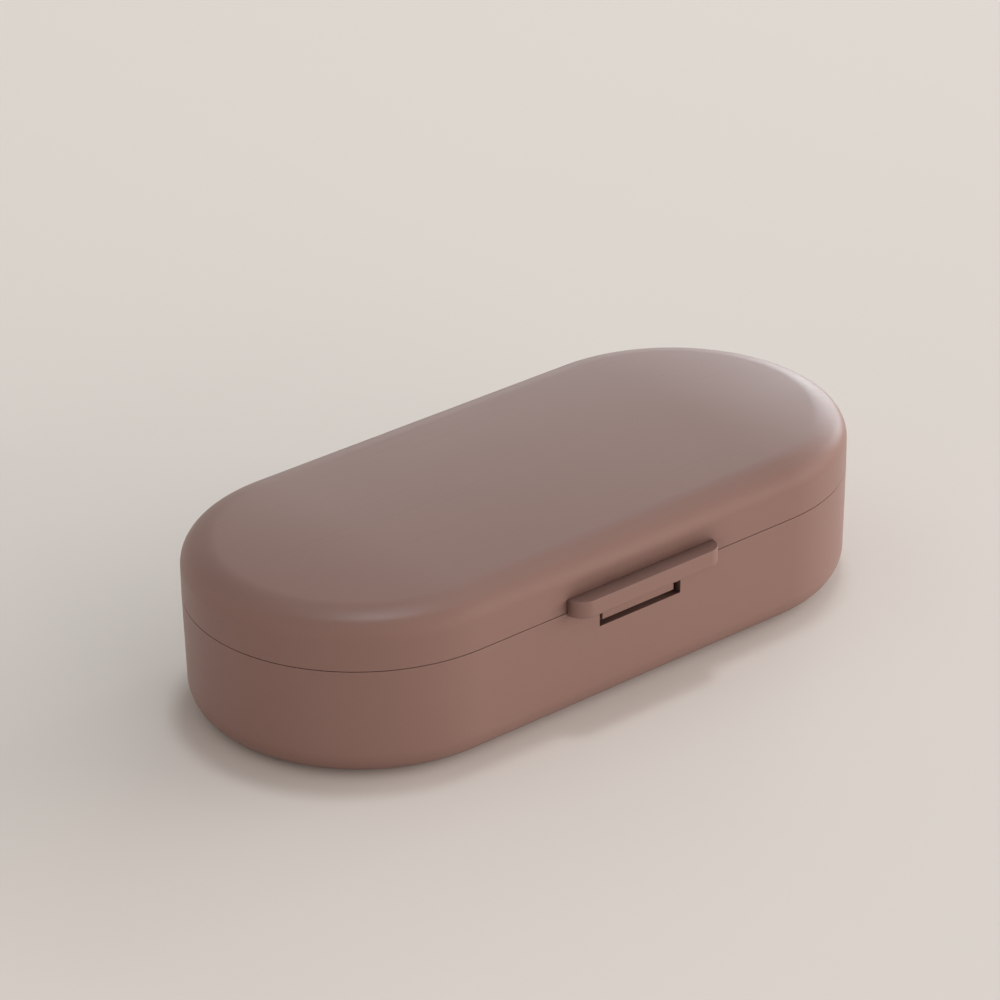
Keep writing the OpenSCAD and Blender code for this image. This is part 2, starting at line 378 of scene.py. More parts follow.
def piece(name, bm, material, body, slot, *nodes):
    """Turns the mesh into a piece of the case that rides on a body and stands for its nodes."""
    mesh = bpy.data.meshes.new(name)
    bm.to_mesh(mesh)
    bm.free()
    mesh.shade_smooth()
    mesh.set_sharp_from_angle(angle=math.radians(SHARP_ANGLE))
    mesh.materials.append(material)
    obj = bpy.data.objects.new(name, mesh)
    bpy.context.scene.collection.objects.link(obj)
    weighted = obj.modifiers.new("even_shading", "WEIGHTED_NORMAL")
    weighted.keep_sharp = True
    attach(obj, body)
    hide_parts(*nodes)
    return obj


# Shader node groups, and where nodes are placed in their trees

NODE_STEP_X, NODE_STEP_Y = 220, -60
NODE_ROWS = 5
GROUP_END_AT = (2400, 0)
SHADER_AT = (2600, 0)
OUTPUT_AT = (2900, 0)


class Sheet:
    """A node tree that is filled from left to right."""

    def __init__(self, tree):
        self.tree = tree
        self.column = 0

    def add(self, kind, settings=None, **inputs):
        """A node with its settings; an input is named, or numbered as i0, i1 and so on, and gets
        a value or another node's socket."""
        node = self.tree.nodes.new(kind)
        node.location = (NODE_STEP_X * self.column, NODE_STEP_Y * (self.column % NODE_ROWS))
        self.column += 1
        for key, value in (settings or {}).items():
            setattr(node, key, value)
        for key, value in inputs.items():
            numbered = key[1:].isdigit()
            socket = node.inputs[int(key[1:]) if numbered else key.replace("_", " ")]
            if isinstance(value, bpy.types.NodeSocket):
                self.tree.links.new(value, socket)
            else:
                socket.default_value = value
        return node

    def maths(self, operation, *values):
        """What a Math node gives for the values or sockets."""
        inputs = {f"i{k}": value for k, value in enumerate(values)}
        return self.add("ShaderNodeMath", {"operation": operation}, **inputs).outputs[0]


def effect(name, inputs, outputs):
    """An empty node group, with named inputs and outputs, and its sheet and two end nodes."""
    group = bpy.data.node_groups.new(name, "ShaderNodeTree")
    for label, kind, value in inputs:
        socket = group.interface.new_socket(label, in_out="INPUT", socket_type=kind)
        socket.default_value = value
    for label, kind in outputs:
        group.interface.new_socket(label, in_out="OUTPUT", socket_type=kind)
    sheet = Sheet(group)
    start = sheet.add("NodeGroupInput")
    end = group.nodes.new("NodeGroupOutput")
    end.location = GROUP_END_AT
    return group, sheet, start.outputs, end.inputs


def tone_drift_group():
    """A colour that drifts lighter and darker over the surface, slowly and in fine flecks."""
    group, sheet, given, out = effect(
        "tone_drift",
        [("Colour", "NodeSocketColor", (0.5, 0.5, 0.5, 1)), ("Size", "NodeSocketFloat", 60),
         ("Depth", "NodeSocketFloat", 0.05), ("Fleck", "NodeSocketFloat", 0.02)],
        [("Colour", "NodeSocketColor")])
    fleck_scale = 2600.0
    place = sheet.add("ShaderNodeTexCoord").outputs["Object"]
    slow = sheet.add("ShaderNodeTexNoise", Vector=place, Scale=given["Size"], Detail=3.0).outputs[0]
    fine = sheet.add("ShaderNodeTexNoise", Vector=place, Scale=fleck_scale, Detail=1.0).outputs[0]
    slow = sheet.maths("MULTIPLY", sheet.maths("SUBTRACT", slow, 0.5), given["Depth"])
    fine = sheet.maths("MULTIPLY", sheet.maths("SUBTRACT", fine, 0.5), given["Fleck"])
    factor = sheet.maths("ADD", sheet.maths("ADD", slow, fine), 1.0)
    tinted = sheet.add("ShaderNodeVectorMath", {"operation": "SCALE"}, Vector=given["Colour"],
                       Scale=factor)
    group.links.new(tinted.outputs[0], out["Colour"])
    return group


def moulded_grain_group():
    """The height of a spark-eroded mould surface: fine cells, with shallow waves between them."""
    group, sheet, given, out = effect(
        "moulded_grain",
        [("Cells", "NodeSocketFloat", 4500), ("Wave", "NodeSocketFloat", 0.3)],
        [("Height", "NodeSocketFloat")])
    wave_per_cell = 0.35
    place = sheet.add("ShaderNodeTexCoord").outputs["Object"]
    cells = sheet.add("ShaderNodeTexVoronoi", {"feature": "SMOOTH_F1"}, Vector=place,
                      Scale=given["Cells"], Smoothness=0.8).outputs["Distance"]
    wave_scale = sheet.maths("MULTIPLY", given["Cells"], wave_per_cell)
    wave = sheet.add("ShaderNodeTexNoise", Vector=place, Scale=wave_scale, Detail=2.0).outputs[0]
    height = sheet.maths("ADD", cells, sheet.maths("MULTIPLY", wave, given["Wave"]))
    group.links.new(height, out["Height"])
    return group


def edge_rub_group():
    """A broken mask along the outer edges, where handling has rubbed them."""
    group, sheet, given, out = effect(
        "edge_rub",
        [("Reach", "NodeSocketFloat", 0.0004), ("Gain", "NodeSocketFloat", 4.0)],
        [("Mask", "NodeSocketFloat")])
    patch_scale, patch_low, patch_gain = 420.0, 0.3, 2.2
    place = sheet.add("ShaderNodeTexCoord").outputs["Object"]
    true_normal = sheet.add("ShaderNodeNewGeometry").outputs["Normal"]
    soft_normal = sheet.add("ShaderNodeBevel", {"samples": 6}, Radius=given["Reach"]).outputs[0]
    facing = sheet.add("ShaderNodeVectorMath", {"operation": "DOT_PRODUCT"}, i0=true_normal,
                       i1=soft_normal).outputs["Value"]
    edge = sheet.maths("MULTIPLY", sheet.maths("SUBTRACT", 1.0, facing), given["Gain"])
    broken = sheet.add("ShaderNodeTexNoise", Vector=place, Scale=patch_scale, Detail=4.0).outputs[0]
    broken = sheet.maths("MULTIPLY", sheet.maths("SUBTRACT", broken, patch_low), patch_gain)
    mask = sheet.add("ShaderNodeClamp", Value=sheet.maths("MULTIPLY", edge, broken)).outputs[0]
    group.links.new(mask, out["Mask"])
    return group


def handling_group():
    """Roughness that is uneven from touch, with soft smears and hairline scratches."""
    group, sheet, given, out = effect(
        "handling",
        [("Roughness", "NodeSocketFloat", 0.45), ("Smear", "NodeSocketFloat", 0.06),
         ("Hairline", "NodeSocketFloat", 0.05)],
        [("Roughness", "NodeSocketFloat"), ("Hairline", "NodeSocketFloat")])
    smear_scale = 45.0
    line_tilts, line_roll, line_scale = (0.35, -0.6, 1.3), 0.2, (40.0, 2600.0, 900.0)
    line_starts, line_full = 0.74, 0.80
    place = sheet.add("ShaderNodeTexCoord").outputs["Object"]
    smear = sheet.add("ShaderNodeTexNoise", Vector=place, Scale=smear_scale, Detail=3.0,
                      Distortion=0.6).outputs[0]
    lines = []
    for tilt in line_tilts:
        bent = sheet.add("ShaderNodeMapping", Vector=place, Rotation=(0.0, line_roll, tilt),
                         Scale=line_scale).outputs[0]
        streak = sheet.add("ShaderNodeTexNoise", Vector=bent, Scale=1.0, Detail=0.0).outputs[0]
        lines.append(sheet.add("ShaderNodeMapRange", Value=streak, From_Min=line_starts,
                               From_Max=line_full).outputs[0])
    hairline = sheet.maths("MAXIMUM", sheet.maths("MAXIMUM", lines[0], lines[1]), lines[2])
    smear = sheet.maths("MULTIPLY", sheet.maths("SUBTRACT", smear, 0.5), given["Smear"])
    scratch = sheet.maths("MULTIPLY", hairline, given["Hairline"])
    total = sheet.maths("ADD", sheet.maths("ADD", given["Roughness"], smear), scratch)
    group.links.new(total, out["Roughness"])
    group.links.new(hairline, out["Hairline"])
    return group


def painted_shade_group():
    """A mask of painted shade in the inner corners, from the piece's own shape alone, broken into
    patches.
    """
    group, sheet, given, out = effect(
        "painted_shade",
        [("Reach", "NodeSocketFloat", 0.002), ("Gain", "NodeSocketFloat", 1.0)],
        [("Mask", "NodeSocketFloat")])
    shade_patch_scale, shade_patch_swing, shade_patch_least = 300.0, 0.5, 0.75
    place = sheet.add("ShaderNodeTexCoord").outputs["Object"]
    open_sky = sheet.add("ShaderNodeAmbientOcclusion", {"samples": 6, "only_local": True},
                         Distance=given["Reach"]).outputs["AO"]
    shade_patches = sheet.add("ShaderNodeTexNoise", Vector=place, Scale=shade_patch_scale, Detail=3.0).outputs[0]
    shade_patches = sheet.maths("ADD", sheet.maths("MULTIPLY", shade_patches, shade_patch_swing), shade_patch_least)
    # Painted shade: the less open the surface is, the more of the painted shade colour it gets, in
    # patches.
    depth = sheet.maths("MULTIPLY", sheet.maths("SUBTRACT", 1.0, open_sky), given["Gain"])
    mask = sheet.add("ShaderNodeClamp", Value=sheet.maths("MULTIPLY", depth, shade_patches)).outputs[0]
    group.links.new(mask, out["Mask"])
    return group


EFFECTS = {"tone": tone_drift_group(), "grain": moulded_grain_group(), "rub": edge_rub_group(),
           "handling": handling_group(), "painted_shade": painted_shade_group()}


def finish(name, **constants):
    """A new material with a Principled shader, whose constants are set on its own sockets."""
    material = bpy.data.materials.new(name)
    material.use_nodes = True
    material.node_tree.nodes.clear()
    sheet = Sheet(material.node_tree)
    shader = material.node_tree.nodes.new("ShaderNodeBsdfPrincipled")
    shader.location = SHADER_AT
    for key, value in constants.items():
        shader.inputs[key.replace("_", " ")].default_value = value
    end = material.node_tree.nodes.new("ShaderNodeOutputMaterial")
    end.location = OUTPUT_AT
    material.node_tree.links.new(shader.outputs[0], end.inputs["Surface"])
    return material, sheet, shader


def use(sheet, effect_name, **inputs):
    """One of the shared effects, placed in a material with its own values."""
    return sheet.add("ShaderNodeGroup", {"node_tree": EFFECTS[effect_name]}, **inputs).outputs


def moulding(name, colour, rub_colour, painted_shade_colour, tone, grain, rub, painted_shade, handling, bump,
             **constants):
    """A moulded plastic or rubber: drifting colour, eroded grain, rubbed edges, painted shade in
    the crevices and uneven gloss."""
    relief_height, hairline_depth = 0.02 * MM, 0.5
    material, sheet, shader = finish(name, **constants)
    tree = material.node_tree
    drift = use(sheet, "tone", Colour=colour, **tone)["Colour"]
    worn = use(sheet, "rub", **rub)["Mask"]
    rubbed = sheet.add("ShaderNodeMix", {"data_type": "RGBA"}, i0=worn, i6=drift, i7=rub_colour)
    # Painted shade: in the inner corners the base colour is darkened towards the painted shade
    # colour.
    deep = use(sheet, "painted_shade", **painted_shade)["Mask"]
    shaded = sheet.add("ShaderNodeMix", {"data_type": "RGBA"}, i0=deep, i6=rubbed.outputs[2],
                       i7=painted_shade_colour)
    tree.links.new(shaded.outputs[2], shader.inputs["Base Color"])
    touch = use(sheet, "handling", **handling)
    tree.links.new(touch["Roughness"], shader.inputs["Roughness"])
    height = use(sheet, "grain", **grain)["Height"]
    scored = sheet.maths("MULTIPLY", touch["Hairline"], hairline_depth)
    scored = sheet.maths("SUBTRACT", height, scored)
    relief = sheet.add("ShaderNodeBump", Strength=bump, Distance=relief_height, Height=scored)
    tree.links.new(relief.outputs[0], shader.inputs["Normal"])
    return material


def shell_plastic():
    """Satin mauve-brown, for the lid, the base and the tongue."""
    return moulding(
        "shell_plastic", (0.202, 0.1145, 0.095, 1), (0.256, 0.157, 0.133, 1),
        # The third colour is painted shade, laid into the inner corners as far and as strongly as
        # set below.
        (0.045, 0.022, 0.017, 1),
        tone={"Size": 38.0, "Depth": 0.07, "Fleck": 0.05},
        grain={"Cells": 5200.0, "Wave": 0.4},
        rub={"Reach": 0.35 * MM, "Gain": 2.0},
        painted_shade={"Reach": 4.5 * MM, "Gain": 1.4},
        handling={"Roughness": 0.39, "Smear": 0.06, "Hairline": 0.05},
        bump=0.2, IOR=1.5, Specular_IOR_Level=0.3)


def tray_plastic():
    """Milky white, for the tray, the dividers and the liner."""
    return moulding(
        # The third colour is painted shade, laid into the inner corners as far and as strongly as
        # set below.
        "tray_plastic", (0.74, 0.70, 0.635, 1), (0.82, 0.79, 0.73, 1), (0.50, 0.45, 0.385, 1),
        tone={"Size": 55.0, "Depth": 0.08, "Fleck": 0.05},
        grain={"Cells": 3800.0, "Wave": 0.5},
        rub={"Reach": 0.3 * MM, "Gain": 1.5},
        painted_shade={"Reach": 2.0 * MM, "Gain": 0.6},
        handling={"Roughness": 0.5, "Smear": 0.1, "Hairline": 0.06},
        bump=0.25, IOR=1.49, Specular_IOR_Level=0.15,
        Subsurface_Weight=0.12, Subsurface_Scale=1.5 * MM, Subsurface_Radius=(1.0, 0.85, 0.6))


def seal_silicone():
    """Soft dull rubber, for the seal."""
    return moulding(
        # The third colour is painted shade, laid into the inner corners as far and as strongly as
        # set below.
        "seal_silicone", (0.68, 0.65, 0.60, 1), (0.60, 0.57, 0.52, 1), (0.42, 0.39, 0.35, 1),
        tone={"Size": 180.0, "Depth": 0.05, "Fleck": 0.06},
        grain={"Cells": 3000.0, "Wave": 0.9},
        rub={"Reach": 0.25 * MM, "Gain": 1.0},
        painted_shade={"Reach": 1.0 * MM, "Gain": 0.6},
        handling={"Roughness": 0.55, "Smear": 0.12, "Hairline": 0.0},
        bump=0.3, IOR=1.41,
        Subsurface_Weight=0.2, Subsurface_Scale=1.0 * MM, Subsurface_Radius=(1.0, 0.9, 0.75))


def pin_steel():
    """Drawn steel wire, with lines along the pin."""
    line_scale, line_gloss, line_height = (120.0, 9000.0, 9000.0), 0.12, 0.01 * MM
    material, sheet, shader = finish("pin_steel", Metallic=1.0)
    tree = material.node_tree
    place = sheet.add("ShaderNodeTexCoord").outputs["Object"]
    long_way = sheet.add("ShaderNodeMapping", Vector=place, Scale=line_scale).outputs[0]
    drawn = sheet.add("ShaderNodeTexNoise", Vector=long_way, Scale=1.0, Detail=3.0).outputs[0]
    tone = use(sheet, "tone", Colour=(0.58, 0.575, 0.57, 1), Size=900.0, Depth=0.12, Fleck=0.06)
    worn = use(sheet, "rub", Reach=0.12 * MM, Gain=1.0)["Mask"]
    blend = sheet.add("ShaderNodeMix", {"data_type": "RGBA"}, i0=worn, i6=tone["Colour"],
                      i7=(0.72, 0.715, 0.71, 1))
    tree.links.new(blend.outputs[2], shader.inputs["Base Color"])
    touch = use(sheet, "handling", Roughness=0.28, Smear=0.1, Hairline=0.1)
    gloss = sheet.maths("ADD", touch["Roughness"], sheet.maths("MULTIPLY", drawn, line_gloss))
    tree.links.new(gloss, shader.inputs["Roughness"])
    relief = sheet.add("ShaderNodeBump", Strength=0.3, Distance=line_height, Height=drawn)
    tree.links.new(relief.outputs[0], shader.inputs["Normal"])
    return material


SHELL = shell_plastic()
TRAY = tray_plastic()
SEAL = seal_silicone()
STEEL = pin_steel()


# Shell

def lid_section():
    """Half section of the lid, over its crown, round the rim and back under the crown."""
    tilt, crown_tilt = math.radians(SHOULDER_TILT), math.radians(CROWN_TILT)
    edge_x = BODY_R - LID_EDGE_R
    step = LID_SHOULDER_R - LID_EDGE_R
    shoulder_x = edge_x - step * math.sin(tilt)
    crown_r = LID_SHOULDER_R + shoulder_x / math.sin(crown_tilt)
    crown_z = CASE_H - crown_r
    shoulder_z = crown_z + (crown_r - LID_SHOULDER_R) * math.cos(crown_tilt)
    wall_top = shoulder_z + step * math.cos(tilt)

    def over(inset):
        crown = arc(0, crown_z, crown_r - inset, 90, 90 - CROWN_TILT, CROWN_STEPS)
        shoulder = arc(shoulder_x, shoulder_z, LID_SHOULDER_R - inset, 90 - CROWN_TILT,
                       90 - SHOULDER_TILT, SHOULDER_STEPS)
        edge = arc(edge_x, wall_top, LID_EDGE_R - inset, 90 - SHOULDER_TILT, 0, LID_EDGE_STEPS)
        return crown[:-1] + shoulder[:-1] + edge

    rim = rounded([(BODY_R, wall_top, 0), (BODY_R, LID_RIM_Z, RIM_EDGE),
                   (LID_IN_R, LID_RIM_Z, RIM_EDGE), (LID_IN_R, wall_top, 0)])
    section = over(0) + rim[1:-1] + over(LID_WALL)[::-1]
    section[0] = (0, section[0][1])
    section[-1] = (0, section[-1][1])
    return section


def ledge_ring(inset, back):
    """Plan of the thumb ledge: its front between two quarter rounds, with y = back behind."""
    corner = LEDGE_D - inset
    over = math.degrees(math.asin(LEDGE_GAP / corner))
    centre = LEDGE_L / 2 - LEDGE_D
    front = arc(-centre, -BODY_R, corner, 180 + over, 270, LEDGE_STEPS)
    front += arc(centre, -BODY_R, corner, 270, 360 - over, LEDGE_STEPS)
    return [(front[0][0], back)] + front + [(front[-1][0], back)]


def thumb_ledge():
    """The ledge, clear of the base below its step and rooted in the lid above it."""
    bm = bmesh.new()
    deep = LEDGE_LOW_EDGE * 2
    path = rounded([(deep, LEDGE_LOW, 0), (0, LEDGE_LOW, LEDGE_LOW_EDGE),
                    (0, LEDGE_HIGH, LEDGE_TOP_EDGE), (deep, LEDGE_HIGH, 0)])[1:-1]
    clear, rooted = -BODY_R - LEDGE_GAP, -BODY_R + LEDGE_ROOT
    levels = [(inset, z, clear) for inset, z in path if z < LEDGE_STEP_Z]
    levels += [(0, LEDGE_STEP_Z, clear), (0, LEDGE_STEP_Z, rooted)]
    levels += [(inset, z, rooted) for inset, z in path if z > LEDGE_STEP_Z]
    rings = []
    for inset, z, back in levels:
        rings.append([bm.verts.new((x, y, z)) for x, y in ledge_ring(inset, back)])
    skin(bm, rings)
    bm.faces.new(rings[0])
    bm.faces.new(rings[-1])
    bmesh.ops.remove_doubles(bm, verts=bm.verts, dist=SAME_POINT)
    bmesh.ops.recalc_face_normals(bm, faces=bm.faces)
    return bm


def knuckle(x, length, way, bore):
    """A hinge knuckle and the web that roots it; way is 1 on the lid and -1 on the base."""
    wall = BODY_R - HINGE_Y
    root = wall - WEB_ROOT
    start = 180 - math.degrees(math.asin(KNUCKLE_LOW / KNUCKLE_R))
    barrel = arc(0, 0, KNUCKLE_R, start, 360 + 90, BARREL_STEPS)
    outline = [(root, KNUCKLE_LOW)] + barrel + [(wall, WEB_DROP), (root, WEB_DROP)]
    bm = bar(outline, -length / 2, length / 2, KNUCKLE_EDGE, bore)
    if way < 0:
        mirrored(bm)
    return moved(bm, (x, HINGE_Y, SEAM_Z))


def lid_moulding():
    """The lid with its thumb ledge, its two knuckles and the two ribs under its crown."""
    joined = [thumb_ledge()]
    for side in SIDES.values():
        middle = side * RIB_Y
        joined.append(block((-SPAN, middle - RIB_T / 2, LINER_HIGH.z),
                            (SPAN, middle + RIB_T / 2, RIB_TOP), RIB_EDGE))
    for side in SIDES.values():
        joined.append(knuckle(side * HINGE_X, LID_KNUCKLE_L, 1, PIN_R + RUNNING_GAP))
    bm = worked(round_the_oblong(lid_section()), joined, "UNION")
    return piece("lid_moulding", bm, SHELL, "lid", "shell", "lid_shell")


def base_section():
    """Half section of the base, from under its middle round the foot, wall, lip and inside."""
    lean = math.atan2(DRAFT, SEAM_Z)
    foot_x = BODY_R - DRAFT * (1 - FOOT_ROUND / SEAM_Z) - FOOT_ROUND / math.cos(lean)
    top_r = BODY_R - DRAFT * (1 - BASE_RIM_Z / SEAM_Z)
    foot = arc(foot_x, FOOT_ROUND, FOOT_ROUND, -90, -math.degrees(lean), FOOT_STEPS)
    wall = rounded([(*foot[-1], 0), (top_r, BASE_RIM_Z, RIM_EDGE), (LIP_R, BASE_RIM_Z, 0),
                    (LIP_R, LIP_Z, LIP_EDGE), (BASE_IN_R, LIP_Z, LIP_EDGE),
                    (BASE_IN_R, FLOOR_T, BASE_INSIDE_ROUND), (0, FLOOR_T, 0)])
    return [(0, 0)] + foot + wall[1:]


def base_moulding():
    """The base with the notch that the tongue hangs in, the bead's groove and four knuckles."""
    notch = block((-NOTCH_W / 2, -BODY_R - PAST, NOTCH_Z),
                  (NOTCH_W / 2, -LIP_R - APART, SOLID_RIM_Z + PAST))
    end = GROOVE_L / 2
    groove = turned([(-end, 0), (-end, BEAD_R), (end, BEAD_R), (end, 0)])
    moved(groove, (0, -LIP_R + GROOVE_DEPTH - BEAD_R, BEAD_Z))
    knuckles = []
    for side in SIDES.values():
        for end in SIDES.values():
            x = side * HINGE_X + end * BASE_KNUCKLE_X
            knuckles.append(knuckle(x, BASE_KNUCKLE_L, -1, PIN_R + HELD_GAP))
    bm = worked(round_the_oblong(base_section()), [notch, groove], "DIFFERENCE")
    reach = NOTCH_W / 2 + NOTCH_EDGE
    eased(bm, (-reach, -BODY_R - PAST, NOTCH_Z - NOTCH_EDGE),
          (reach, -LIP_R - PAST / 2, BASE_RIM_Z), NOTCH_EDGE)
    bm = worked(bm, knuckles, "UNION")
    return piece("base_moulding", bm, SHELL, "base", "shell", "base_shell")


def snap_tongue():
    """The tongue under the lid's rim, with the bead on its back that clicks into the base."""
    low, high = TONGUE_LOW, TONGUE_HIGH
    back = -LID_IN_R
    outline = rounded([(low.y, low.z, TONGUE_EDGE), (back, low.z, TONGUE_EDGE),
                       (back, LID_RIM_Z, 0), (low.y, LID_RIM_Z, 0)], closed=True)
    plate = bar(outline, low.x, high.x, TONGUE_EDGE * 0.9)
    end = BEAD_L / 2
    profile = rounded([(-end, 0, 0), (-end, BEAD_R, BEAD_END),
                       (end, BEAD_R, BEAD_END), (end, 0, 0)])
    bead = moved(turned(profile), (0, high.y - BEAD_R, BEAD_Z))
    bm = worked(plate, [bead], "UNION")
    return piece("snap_tongue", bm, SHELL, "latch", "shell", "latch_tongue")


# Tray and its dividers

def tray_section():
    """Half section of the tray, from under its middle round the flange and down into a well."""
    return rounded([
        (0, TRAY_LOW.z, 0), (TRAY_R, TRAY_LOW.z, TRAY_ROUND), (TRAY_R, SEAM_Z, 0),
        (TRAY_R, LIP_Z, TRAY_EDGE), (LIP_R, LIP_Z, TRAY_EDGE / 2), (LIP_R, TRAY_HIGH.z, TRAY_EDGE),
        (WELL_R, TRAY_HIGH.z, TRAY_EDGE), (WELL_R, WELL_Z, WELL_ROUND), (0, WELL_Z, 0)])


def centre_wall():
    """The fixed wall along the middle, flared where it meets the floor."""
    half = CENTRE_WALL / 2
    foot = half + CENTRE_FOOT
    flare = CENTRE_FOOT * 0.99
    under, floor_z, top = WELL_Z - SUNK_IN, WELL_Z - APART, CENTRE_TOP
    outline = rounded([
        (-foot, under, 0), (foot, under, 0), (foot, floor_z, 0), (half, floor_z, flare),
        (half, top, CENTRE_EDGE), (-half, top, CENTRE_EDGE),
        (-half, floor_z, flare), (-foot, floor_z, 0)], closed=True)
    end = SPAN + WELL_R + TRAY_WALL / 2
    return bar(outline, -end, end, 0.05 * MM)


def divider_guides():
    """Ribs on the side walls and the centre wall, on either side of each row of dividers."""
    top = TRAY_HIGH.z - GUIDE_STOP
    low = WELL_Z - SUNK_IN
    sunk = WELL_R + TRAY_WALL / 2
    centre = CENTRE_WALL / 2 + GUIDE_D
    reaches = [(-sunk, GUIDE_D - WELL_R), (-centre, centre), (WELL_R - GUIDE_D, sunk)]
    half = GUIDE_T / 2
    ribs = []
    for column in COLUMNS.values():
        for side in SIDES.values():
            x = column * COLUMN_L + side * (DIVIDER_T + GUIDE_T + 2 * DIVIDER_GAP) / 2
            for near, far in reaches:
                ribs.append(block((x - half, near, low), (x + half, far, top), GUIDE_EDGE))
    return ribs


def tray_moulding():
    """The tray with the wall along its middle and the ribs that guide the dividers."""
    bm = worked(round_the_oblong(tray_section()), [centre_wall()] + divider_guides(), "UNION")
    return piece("tray_moulding", bm, TRAY, "base", "tray", "compartment_tray")


def divider_plate(row, column):
    """A lift-out divider with a finger dip in its top edge."""
    way = ROWS[row]
    inner, outer = DIVIDER_LOW.y, DIVIDER_HIGH.y
    middle, top = (inner + outer) / 2, DIVIDER_HIGH.z
    dip = []
    for k in range(DIP_STEPS + 1):
        along = k / DIP_STEPS - 0.5
        depth = DIP_DEPTH * (0.5 + 0.5 * math.cos(2 * math.pi * along))
        dip.append((middle - DIP_W * along, top - depth, 0))
    corners = [(inner, WELL_Z, DIVIDER_FOOT_ROUND), (outer, WELL_Z, WELL_ROUND),
               (outer, top, DIVIDER_TOP_ROUND), *dip, (inner, top, DIVIDER_TOP_ROUND)]
    outline = [(way * y, z) for y, z in rounded(corners, closed=True)]
    x = COLUMNS[column] * COLUMN_L
    bm = bar(outline, x - DIVIDER_T / 2, x + DIVIDER_T / 2, DIVIDER_EDGE)
    name = f"divider_{row}_{column}"
    return piece(name + "_plate", bm, TRAY, "base", "tray", name)


# Lid lining

def lining_panel():
    """The liner: a flange over the seal, and a panel below it whose middle is drawn in."""
    low, high, flange_r = LINER_LOW.z, LINER_HIGH.z, LINER_HIGH.y
    frame_r = PANEL_R - PANEL_FRAME
    section = rounded([
        (0, low + PANEL_SUNK, 0), (frame_r - PANEL_SLOPE, low + PANEL_SUNK, PANEL_SMALL_EDGE),
        (frame_r, low, PANEL_SMALL_EDGE), (PANEL_R, low, PANEL_EDGE), (PANEL_R, SEAL_HIGH.z, 0),
        (flange_r, SEAL_HIGH.z, PANEL_SMALL_EDGE), (flange_r, high, PANEL_EDGE), (0, high, 0)])
    return piece("lining_panel", round_the_oblong(section), TRAY, "lid", "tray", "lid_liner")


def seal_bead():
    """A soft ring with a flat back and a round lip that the tray presses."""
    outer, inner = SEAL_HIGH.y, SEAL_HIGH.y - SEAL_W
    section = rounded([
        (inner, SEAL_HIGH.z, SEAL_BACK_EDGE), (outer, SEAL_HIGH.z, SEAL_BACK_EDGE),
        (outer, SEAL_LOW.z, SEAL_LIP_EDGE), (inner, SEAL_LOW.z, SEAL_LIP_EDGE)], closed=True)
    bm = round_the_oblong(section, closed=True)
    return piece("seal_bead", bm, SEAL, "lid", "seal", "seal_ring")


def pin_rod(name, side):
    """A hinge pin with rounded ends."""
    half, round_r = HINGE_L / 2, PIN_R / 2
    section = rounded([(-half, 0, 0), (-half, PIN_R, round_r),
                       (half, PIN_R, round_r), (half, 0, 0)])
    bm = moved(turned(section), (side * HINGE_X, HINGE_Y, SEAM_Z))
    return piece(f"pin_{name}_rod", bm, STEEL, "base", "pin", f"hinge_pin_{name}")


lid_moulding()
base_moulding()
snap_tongue()
tray_moulding()
for row in ROWS:
    for column in COLUMNS:
        divider_plate(row, column)
lining_panel()
seal_bead()
for name, side in SIDES.items():
    pin_rod(name, side)


# Floor, light and camera

FLOOR_SIZE = 6.0
FLOOR_GAP = 0.02 * MM
FLOOR_CLEAR_LENGTH = 5 * FLOOR_GAP
FLOOR_COLOUR = (0.70, 0.635, 0.59, 1)
WORLD_COLOUR = (1.0, 0.98, 0.95, 1)
WORLD_STRENGTH = 0.38

# The camera of the photograph, in degrees, millimetres and metres
CAMERA_AZIMUTH = -39.806
CAMERA_ELEVATION = 27.058
CAMERA_ROLL = -0.821
CAMERA_DISTANCE = 716.77 * MM
CAMERA_TARGET = Vector((10.018, 17.457, 12.203)) * MM
CAMERA_LENS = 158.88
CAMERA_SENSOR = 36
CAMERA_NEAR, CAMERA_FAR = 0.01, 20


def floor():
    """A plain pale floor that is seen only from above, and lets light reach the flat underside."""
    material, sheet, shader = finish("floor_paint", Roughness=0.9, Specular_IOR_Level=0.1)
    tree = material.node_tree
    tone = use(sheet, "tone", Colour=FLOOR_COLOUR, Size=2.0, Depth=0.02, Fleck=0.0)["Colour"]
    tree.links.new(tone, shader.inputs["Base Color"])
    clear = sheet.add("ShaderNodeBsdfTransparent").outputs[0]
    below = sheet.add("ShaderNodeNewGeometry").outputs["Backfacing"]
    ray_length = sheet.add("ShaderNodeLightPath").outputs["Ray Length"]
    touching = sheet.maths("LESS_THAN", ray_length, FLOOR_CLEAR_LENGTH)
    see_through = sheet.maths("MAXIMUM", below, touching)
    mix = sheet.add("ShaderNodeMixShader", i0=see_through, i1=shader.outputs[0], i2=clear)
    tree.links.new(mix.outputs[0], tree.nodes["Material Output"].inputs["Surface"])
    bm = bmesh.new()
    bmesh.ops.create_grid(bm, x_segments=1, y_segments=1, size=FLOOR_SIZE / 2)
    mesh = bpy.data.meshes.new("floor")
    bm.to_mesh(mesh)
    bm.free()
    mesh.materials.append(material)
    obj = bpy.data.objects.new("floor", mesh)
    obj.location = (0, 0, -FLOOR_GAP)
    bpy.context.scene.collection.objects.link(obj)


def softbox(name, azimuth, elevation, distance, width, height, watts, colour, glossy=True):
    """An area lamp aimed at the case, seen in glossy reflections or not. Azimuth turns from +X
    towards +Y, and elevation lifts it."""
    lamp = bpy.data.lights.new(name, "AREA")
    lamp.shape = "RECTANGLE"
    lamp.size, lamp.size_y = width, height
    lamp.energy = watts
    lamp.color = colour
    turn, lift = math.radians(azimuth), math.radians(elevation)
    flat = math.cos(lift)
    away = Vector((math.cos(turn) * flat, math.sin(turn) * flat, math.sin(lift)))
    obj = bpy.data.objects.new(name, lamp)
    obj.location = away * distance
    obj.rotation_euler = (-away).to_track_quat("-Z", "Y").to_euler()
    obj.visible_glossy = glossy
    bpy.context.scene.collection.objects.link(obj)


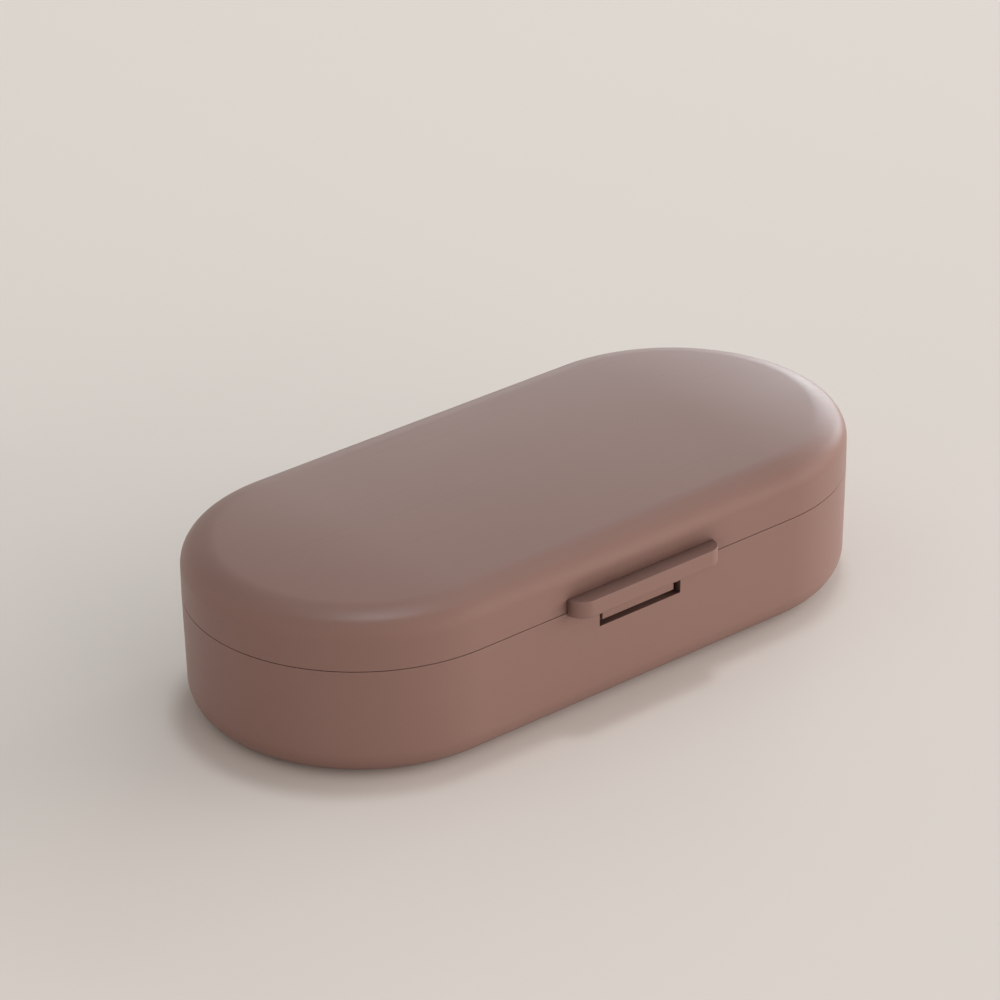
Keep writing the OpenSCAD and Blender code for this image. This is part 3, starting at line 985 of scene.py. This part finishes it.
def surroundings():
    """Even soft light from all round, and the floor's own tone beyond it where it is looked at."""
    world = bpy.data.worlds.new("studio")
    world.use_nodes = True
    tree = world.node_tree
    tree.nodes.clear()
    sheet = Sheet(tree)
    paths = sheet.add("ShaderNodeLightPath").outputs
    looked = sheet.maths("MAXIMUM", paths["Is Camera Ray"], paths["Is Glossy Ray"])
    looked = sheet.maths("MAXIMUM", looked, paths["Is Transmission Ray"])
    light = sheet.add("ShaderNodeBackground", Color=WORLD_COLOUR, Strength=WORLD_STRENGTH)
    seen = sheet.add("ShaderNodeBackground", Color=FLOOR_COLOUR, Strength=1.0)
    mix = sheet.add("ShaderNodeMixShader", i0=looked, i1=light.outputs[0], i2=seen.outputs[0])
    sheet.add("ShaderNodeOutputWorld", Surface=mix.outputs[0])
    bpy.context.scene.world = world


def photo_camera():
    """The camera of the photograph, given by its direction, distance, roll and angle of view."""
    azimuth, elevation = math.radians(CAMERA_AZIMUTH), math.radians(CAMERA_ELEVATION)
    flat = math.cos(elevation)
    back = Vector((math.sin(azimuth) * flat, -math.cos(azimuth) * flat, math.sin(elevation)))
    data = bpy.data.cameras.new("camera")
    data.sensor_width = CAMERA_SENSOR
    data.lens = CAMERA_LENS
    data.clip_start, data.clip_end = CAMERA_NEAR, CAMERA_FAR
    camera = bpy.data.objects.new("camera", data)
    camera.location = CAMERA_TARGET + back * CAMERA_DISTANCE
    camera.rotation_mode = "QUATERNION"
    roll = Matrix.Rotation(math.radians(CAMERA_ROLL), 3, "Z").to_quaternion()
    camera.rotation_quaternion = (-back).to_track_quat("-Z", "Y") @ roll
    bpy.context.scene.collection.objects.link(camera)
    bpy.context.scene.camera = camera


floor()
softbox("overhead_lamp", azimuth=35, elevation=80, distance=1.8,
        width=0.28, height=0.28, watts=6.8, colour=(0.82, 0.94, 1.0))
softbox("left_high_panel", azimuth=150, elevation=50, distance=2.4,
        width=1.8, height=1.5, watts=3, colour=(1.0, 0.94, 0.9), glossy=False)
softbox("left_strip", azimuth=-172, elevation=7, distance=2.4,
        width=2.7, height=0.52, watts=14, colour=(1.0, 0.92, 0.86), glossy=False)
softbox("right_panel", azimuth=-20, elevation=14, distance=3.6,
        width=3.9, height=1.65, watts=133, colour=(1.0, 0.99, 0.98), glossy=False)
softbox("front_panel", azimuth=-76, elevation=10, distance=3.6,
        width=3.9, height=1.2, watts=79, colour=(1.0, 0.96, 0.92), glossy=False)
softbox("rear_panel", azimuth=100, elevation=14, distance=2.4,
        width=2.0, height=1.0, watts=5, colour=(1.0, 0.97, 0.95), glossy=False)
softbox("back_right_panel", azimuth=23, elevation=12, distance=3.2,
        width=2.13, height=1.49, watts=44, colour=(0.82, 0.95, 1.0))
softbox("back_panel", azimuth=45, elevation=12, distance=1.8,
        width=0.84, height=0.84, watts=3, colour=(0.88, 0.95, 1.0))
surroundings()
photo_camera()
bpy.context.scene.view_settings.view_transform = "Standard"
